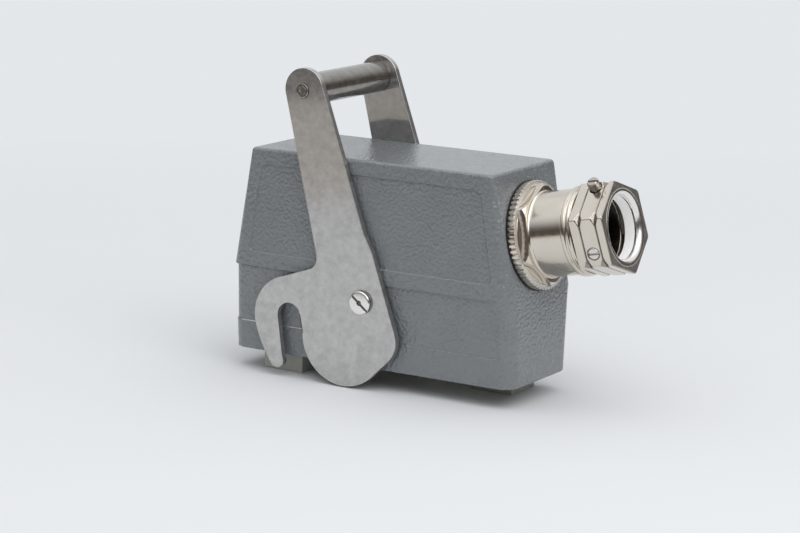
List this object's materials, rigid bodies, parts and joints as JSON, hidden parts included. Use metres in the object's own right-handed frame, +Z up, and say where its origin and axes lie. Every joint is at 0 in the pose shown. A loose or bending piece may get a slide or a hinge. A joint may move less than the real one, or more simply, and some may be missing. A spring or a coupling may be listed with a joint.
{
  "type": "heavy duty rectangular connector hood",
  "caption": "Side-entry hood of a heavy duty rectangular connector with a swinging locking lever, contact insert and metal cable gland.",
  "frame": {"origin": "centre of the rim plane, where the hood meets its mating housing", "axes": "+X along the hood towards the cable gland, +Y across it, +Z up out of the mating housing"},
  "size_m": [0.1551, 0.0556, 0.1154],
  "materials": {
    "powder_coat": "textured grey powder coat on die-cast aluminium",
    "insert_plastic": "light grey glass-filled plastic, matt",
    "insert_dark": "dark grey plastic, matt",
    "zinc_screw": "zinc-plated steel",
    "lever_steel": "tumbled stainless steel with fine scuffs",
    "bar_steel": "turned stainless steel",
    "nickel_brass": "nickel-plated brass, turned",
    "jaw_brass": "bare brass, dull",
    "black_rubber": "black rubber"
  },
  "bodies": {
    "hood": {"hood_shell": "powder_coat", "insert_body": "insert_plastic", "insert_rear_plate": "insert_dark", "insert_screws": "zinc_screw", "earth_terminals": "zinc_screw", "earth_screws": "zinc_screw", "pivot_screws": "bar_steel", "pivot_washers": "bar_steel", "gland_gasket": "black_rubber", "knurled_ring": "nickel_brass", "gland_body": "nickel_brass", "gland_locknut": "nickel_brass", "gland_collar": "nickel_brass", "clamp_hex": "nickel_brass", "clamp_band": "nickel_brass", "clamp_jaws": "jaw_brass", "end_nut": "nickel_brass", "cable_seal": "black_rubber", "seal_washer": "zinc_screw"},
    "lever": {"lever_plate_near": "lever_steel", "lever_plate_far": "lever_steel", "handle_bar": "bar_steel", "handle_rivet": "bar_steel"},
    "top_screw": {"clamp_screw_top": "zinc_screw"},
    "side_screw": {"clamp_screw_side": "zinc_screw"}
  },
  "joints": [
    {"name": "lever_hinge", "type": "hinge", "parent": "hood", "child": "lever", "pos_m": [0, 0, 0.0252], "axis": [0, -1, 0], "range_deg": [-60, 70.5]},
    {"name": "top_screw_travel", "type": "slide", "parent": "hood", "child": "top_screw", "axis": [-0.1488, -0.6508, 0.7446], "range_m": [-0.0023, 0.0003]},
    {"name": "side_screw_travel", "type": "slide", "parent": "hood", "child": "side_screw", "axis": [0.036, -0.9829, -0.1804], "range_m": [0, 0.0034]}
  ]
}
